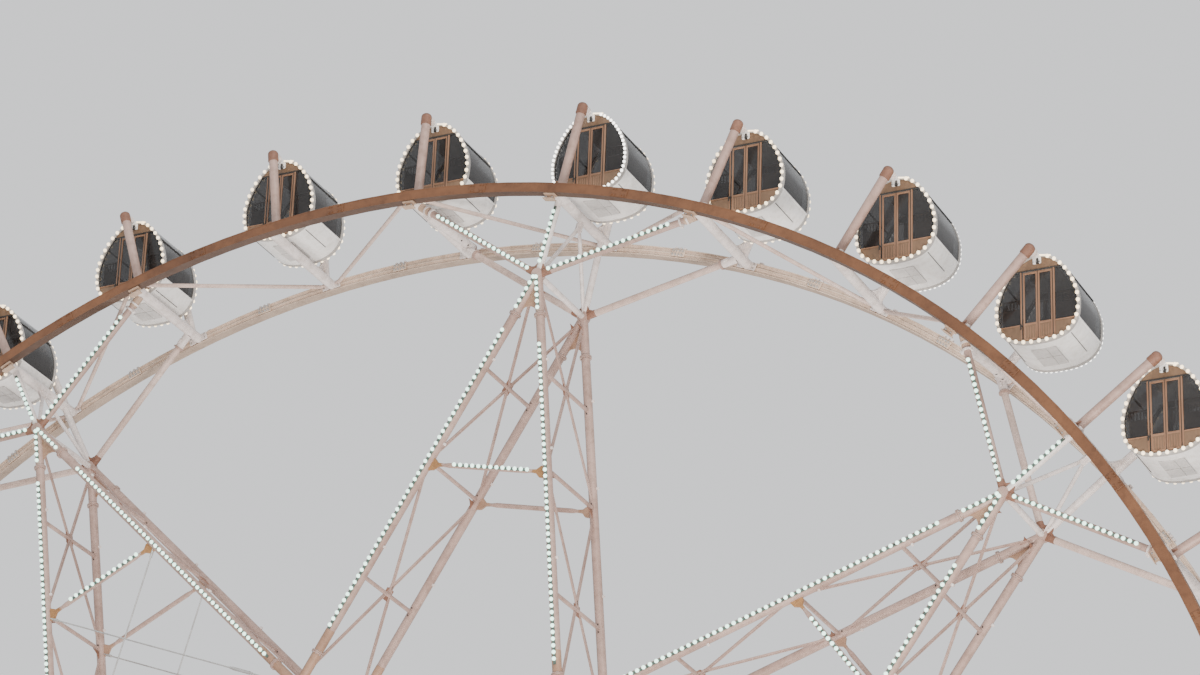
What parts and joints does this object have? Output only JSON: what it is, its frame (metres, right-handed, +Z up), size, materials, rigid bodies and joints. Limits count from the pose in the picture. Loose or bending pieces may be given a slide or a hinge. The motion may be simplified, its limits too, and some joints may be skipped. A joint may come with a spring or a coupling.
{
  "type": "ferris wheel, scale model at 1:2",
  "caption": "Open lattice ferris wheel on two splayed support frames: the wheel turns on its axle and the glazed drum cabins stay level.",
  "frame": {"origin": "on the ground, under the middle of the hub", "axes": "+X to the right seen from the front, +Y along the axle towards the rear, +Z up"},
  "size_m": [25.9658, 7.44, 27.2907],
  "materials": {
    "rim": "satin paint, warm cream with a brown tint",
    "wheel_tube": "satin off-white paint with a pink tint",
    "cabin_panel": "smooth white gel coat",
    "cabin_glass": "dark tinted glazing",
    "door_frame": "satin tan paint",
    "lamp": "lit globe lamp",
    "support": "satin off-white paint",
    "base": "grey paint",
    "deck": "chequered steel plate, grey"
  },
  "bodies": {
    "supports": {"front_support_frame": "support", "rear_support_frame": "support", "base_frame": "base", "loading_platform": "deck"},
    "wheel": {"rim_sector_1": "rim", "rim_sector_2": "rim", "rim_sector_3": "rim", "rim_sector_4": "rim", "rim_sector_5": "rim", "rim_sector_6": "rim", "rim_sector_7": "rim", "rim_sector_8": "rim", "rim_sector_9": "rim", "spoke_frame_1": "wheel_tube", "spoke_frame_2": "wheel_tube", "spoke_frame_3": "wheel_tube", "spoke_frame_4": "wheel_tube", "spoke_frame_5": "wheel_tube", "spoke_frame_6": "wheel_tube", "spoke_frame_7": "wheel_tube", "spoke_frame_8": "wheel_tube", "spoke_frame_9": "wheel_tube", "hub_frame": "wheel_tube"},
    "cabin_01": {"cabin_01": "cabin_panel"},
    "cabin_02": {"cabin_02": "cabin_panel"},
    "cabin_03": {"cabin_03": "cabin_panel"},
    "cabin_04": {"cabin_04": "cabin_panel"},
    "cabin_05": {"cabin_05": "cabin_panel"},
    "cabin_06": {"cabin_06": "cabin_panel"},
    "cabin_07": {"cabin_07": "cabin_panel"},
    "cabin_08": {"cabin_08": "cabin_panel"},
    "cabin_09": {"cabin_09": "cabin_panel"},
    "cabin_10": {"cabin_10": "cabin_panel"},
    "cabin_11": {"cabin_11": "cabin_panel"},
    "cabin_12": {"cabin_12": "cabin_panel"},
    "cabin_13": {"cabin_13": "cabin_panel"},
    "cabin_14": {"cabin_14": "cabin_panel"},
    "cabin_15": {"cabin_15": "cabin_panel"},
    "cabin_16": {"cabin_16": "cabin_panel"},
    "cabin_17": {"cabin_17": "cabin_panel"},
    "cabin_18": {"cabin_18": "cabin_panel"},
    "cabin_19": {"cabin_19": "cabin_panel"},
    "cabin_20": {"cabin_20": "cabin_panel"},
    "cabin_21": {"cabin_21": "cabin_panel"},
    "cabin_22": {"cabin_22": "cabin_panel"},
    "cabin_23": {"cabin_23": "cabin_panel"},
    "cabin_24": {"cabin_24": "cabin_panel"},
    "cabin_25": {"cabin_25": "cabin_panel"},
    "cabin_26": {"cabin_26": "cabin_panel"},
    "cabin_27": {"cabin_27": "cabin_panel"},
    "cabin_28": {"cabin_28": "cabin_panel"},
    "cabin_29": {"cabin_29": "cabin_panel"},
    "cabin_30": {"cabin_30": "cabin_panel"},
    "cabin_31": {"cabin_31": "cabin_panel"},
    "cabin_32": {"cabin_32": "cabin_panel"},
    "cabin_33": {"cabin_33": "cabin_panel"},
    "cabin_34": {"cabin_34": "cabin_panel"},
    "cabin_35": {"cabin_35": "cabin_panel"},
    "cabin_36": {"cabin_36": "cabin_panel"}
  },
  "joints": [
    {"name": "wheel_turn", "type": "hinge", "parent": "supports", "child": "wheel", "pos_m": [0, 0, 14.75], "axis": [0, 1, 0], "continuous": true},
    {"name": "cabin_01_swing", "type": "hinge", "parent": "wheel", "child": "cabin_01", "pos_m": [2.8119, 0, 26.9296], "axis": [0, 1, 0], "continuous": true},
    {"name": "cabin_02_swing", "type": "hinge", "parent": "wheel", "child": "cabin_02", "pos_m": [4.8841, 0, 26.2563], "axis": [0, 1, 0], "continuous": true},
    {"name": "cabin_03_swing", "type": "hinge", "parent": "wheel", "child": "cabin_03", "pos_m": [6.808, 0, 25.2334], "axis": [0, 1, 0], "continuous": true},
    {"name": "cabin_04_swing", "type": "hinge", "parent": "wheel", "child": "cabin_04", "pos_m": [8.525, 0, 23.8919], "axis": [0, 1, 0], "continuous": true},
    {"name": "cabin_05_swing", "type": "hinge", "parent": "wheel", "child": "cabin_05", "pos_m": [9.9829, 0, 22.2727], "axis": [0, 1, 0], "continuous": true},
    {"name": "cabin_06_swing", "type": "hinge", "parent": "wheel", "child": "cabin_06", "pos_m": [11.1376, 0, 20.4249], "axis": [0, 1, 0], "continuous": true},
    {"name": "cabin_07_swing", "type": "hinge", "parent": "wheel", "child": "cabin_07", "pos_m": [11.9538, 0, 18.4046], "axis": [0, 1, 0], "continuous": true},
    {"name": "cabin_08_swing", "type": "hinge", "parent": "wheel", "child": "cabin_08", "pos_m": [12.4068, 0, 16.2734], "axis": [0, 1, 0], "continuous": true},
    {"name": "cabin_09_swing", "type": "hinge", "parent": "wheel", "child": "cabin_09", "pos_m": [12.4829, 0, 14.0958], "axis": [0, 1, 0], "continuous": true},
    {"name": "cabin_10_swing", "type": "hinge", "parent": "wheel", "child": "cabin_10", "pos_m": [12.1796, 0, 11.9381], "axis": [0, 1, 0], "continuous": true},
    {"name": "cabin_11_swing", "type": "hinge", "parent": "wheel", "child": "cabin_11", "pos_m": [11.5063, 0, 9.8659], "axis": [0, 1, 0], "continuous": true},
    {"name": "cabin_12_swing", "type": "hinge", "parent": "wheel", "child": "cabin_12", "pos_m": [10.4834, 0, 7.942], "axis": [0, 1, 0], "continuous": true},
    {"name": "cabin_13_swing", "type": "hinge", "parent": "wheel", "child": "cabin_13", "pos_m": [9.1419, 0, 6.225], "axis": [0, 1, 0], "continuous": true},
    {"name": "cabin_14_swing", "type": "hinge", "parent": "wheel", "child": "cabin_14", "pos_m": [7.5227, 0, 4.7671], "axis": [0, 1, 0], "continuous": true},
    {"name": "cabin_15_swing", "type": "hinge", "parent": "wheel", "child": "cabin_15", "pos_m": [5.6749, 0, 3.6124], "axis": [0, 1, 0], "continuous": true},
    {"name": "cabin_16_swing", "type": "hinge", "parent": "wheel", "child": "cabin_16", "pos_m": [3.6546, 0, 2.7962], "axis": [0, 1, 0], "continuous": true},
    {"name": "cabin_17_swing", "type": "hinge", "parent": "wheel", "child": "cabin_17", "pos_m": [1.5234, 0, 2.3432], "axis": [0, 1, 0], "continuous": true},
    {"name": "cabin_18_swing", "type": "hinge", "parent": "wheel", "child": "cabin_18", "pos_m": [-0.6542, 0, 2.2671], "axis": [0, 1, 0], "continuous": true},
    {"name": "cabin_19_swing", "type": "hinge", "parent": "wheel", "child": "cabin_19", "pos_m": [-2.8119, 0, 2.5704], "axis": [0, 1, 0], "continuous": true},
    {"name": "cabin_20_swing", "type": "hinge", "parent": "wheel", "child": "cabin_20", "pos_m": [-4.8841, 0, 3.2437], "axis": [0, 1, 0], "continuous": true},
    {"name": "cabin_21_swing", "type": "hinge", "parent": "wheel", "child": "cabin_21", "pos_m": [-6.808, 0, 4.2666], "axis": [0, 1, 0], "continuous": true},
    {"name": "cabin_22_swing", "type": "hinge", "parent": "wheel", "child": "cabin_22", "pos_m": [-8.525, 0, 5.6081], "axis": [0, 1, 0], "continuous": true},
    {"name": "cabin_23_swing", "type": "hinge", "parent": "wheel", "child": "cabin_23", "pos_m": [-9.9829, 0, 7.2273], "axis": [0, 1, 0], "continuous": true},
    {"name": "cabin_24_swing", "type": "hinge", "parent": "wheel", "child": "cabin_24", "pos_m": [-11.1376, 0, 9.0751], "axis": [0, 1, 0], "continuous": true},
    {"name": "cabin_25_swing", "type": "hinge", "parent": "wheel", "child": "cabin_25", "pos_m": [-11.9538, 0, 11.0954], "axis": [0, 1, 0], "continuous": true},
    {"name": "cabin_26_swing", "type": "hinge", "parent": "wheel", "child": "cabin_26", "pos_m": [-12.4068, 0, 13.2266], "axis": [0, 1, 0], "continuous": true},
    {"name": "cabin_27_swing", "type": "hinge", "parent": "wheel", "child": "cabin_27", "pos_m": [-12.4829, 0, 15.4042], "axis": [0, 1, 0], "continuous": true},
    {"name": "cabin_28_swing", "type": "hinge", "parent": "wheel", "child": "cabin_28", "pos_m": [-12.1796, 0, 17.5619], "axis": [0, 1, 0], "continuous": true},
    {"name": "cabin_29_swing", "type": "hinge", "parent": "wheel", "child": "cabin_29", "pos_m": [-11.5063, 0, 19.6341], "axis": [0, 1, 0], "continuous": true},
    {"name": "cabin_30_swing", "type": "hinge", "parent": "wheel", "child": "cabin_30", "pos_m": [-10.4834, 0, 21.558], "axis": [0, 1, 0], "continuous": true},
    {"name": "cabin_31_swing", "type": "hinge", "parent": "wheel", "child": "cabin_31", "pos_m": [-9.1419, 0, 23.275], "axis": [0, 1, 0], "continuous": true},
    {"name": "cabin_32_swing", "type": "hinge", "parent": "wheel", "child": "cabin_32", "pos_m": [-7.5227, 0, 24.7329], "axis": [0, 1, 0], "continuous": true},
    {"name": "cabin_33_swing", "type": "hinge", "parent": "wheel", "child": "cabin_33", "pos_m": [-5.6749, 0, 25.8876], "axis": [0, 1, 0], "continuous": true},
    {"name": "cabin_34_swing", "type": "hinge", "parent": "wheel", "child": "cabin_34", "pos_m": [-3.6546, 0, 26.7038], "axis": [0, 1, 0], "continuous": true},
    {"name": "cabin_35_swing", "type": "hinge", "parent": "wheel", "child": "cabin_35", "pos_m": [-1.5234, 0, 27.1568], "axis": [0, 1, 0], "continuous": true},
    {"name": "cabin_36_swing", "type": "hinge", "parent": "wheel", "child": "cabin_36", "pos_m": [0.6542, 0, 27.2329], "axis": [0, 1, 0], "continuous": true}
  ],
  "couplings": [
    {"joint": "cabin_01_swing", "follows": "wheel_turn", "ratio": -1},
    {"joint": "cabin_02_swing", "follows": "wheel_turn", "ratio": -1},
    {"joint": "cabin_03_swing", "follows": "wheel_turn", "ratio": -1},
    {"joint": "cabin_04_swing", "follows": "wheel_turn", "ratio": -1},
    {"joint": "cabin_05_swing", "follows": "wheel_turn", "ratio": -1},
    {"joint": "cabin_06_swing", "follows": "wheel_turn", "ratio": -1},
    {"joint": "cabin_07_swing", "follows": "wheel_turn", "ratio": -1},
    {"joint": "cabin_08_swing", "follows": "wheel_turn", "ratio": -1},
    {"joint": "cabin_09_swing", "follows": "wheel_turn", "ratio": -1},
    {"joint": "cabin_10_swing", "follows": "wheel_turn", "ratio": -1},
    {"joint": "cabin_11_swing", "follows": "wheel_turn", "ratio": -1},
    {"joint": "cabin_12_swing", "follows": "wheel_turn", "ratio": -1},
    {"joint": "cabin_13_swing", "follows": "wheel_turn", "ratio": -1},
    {"joint": "cabin_14_swing", "follows": "wheel_turn", "ratio": -1},
    {"joint": "cabin_15_swing", "follows": "wheel_turn", "ratio": -1},
    {"joint": "cabin_16_swing", "follows": "wheel_turn", "ratio": -1},
    {"joint": "cabin_17_swing", "follows": "wheel_turn", "ratio": -1},
    {"joint": "cabin_18_swing", "follows": "wheel_turn", "ratio": -1},
    {"joint": "cabin_19_swing", "follows": "wheel_turn", "ratio": -1},
    {"joint": "cabin_20_swing", "follows": "wheel_turn", "ratio": -1},
    {"joint": "cabin_21_swing", "follows": "wheel_turn", "ratio": -1},
    {"joint": "cabin_22_swing", "follows": "wheel_turn", "ratio": -1},
    {"joint": "cabin_23_swing", "follows": "wheel_turn", "ratio": -1},
    {"joint": "cabin_24_swing", "follows": "wheel_turn", "ratio": -1},
    {"joint": "cabin_25_swing", "follows": "wheel_turn", "ratio": -1},
    {"joint": "cabin_26_swing", "follows": "wheel_turn", "ratio": -1},
    {"joint": "cabin_27_swing", "follows": "wheel_turn", "ratio": -1},
    {"joint": "cabin_28_swing", "follows": "wheel_turn", "ratio": -1},
    {"joint": "cabin_29_swing", "follows": "wheel_turn", "ratio": -1},
    {"joint": "cabin_30_swing", "follows": "wheel_turn", "ratio": -1},
    {"joint": "cabin_31_swing", "follows": "wheel_turn", "ratio": -1},
    {"joint": "cabin_32_swing", "follows": "wheel_turn", "ratio": -1},
    {"joint": "cabin_33_swing", "follows": "wheel_turn", "ratio": -1},
    {"joint": "cabin_34_swing", "follows": "wheel_turn", "ratio": -1},
    {"joint": "cabin_35_swing", "follows": "wheel_turn", "ratio": -1},
    {"joint": "cabin_36_swing", "follows": "wheel_turn", "ratio": -1}
  ]
}
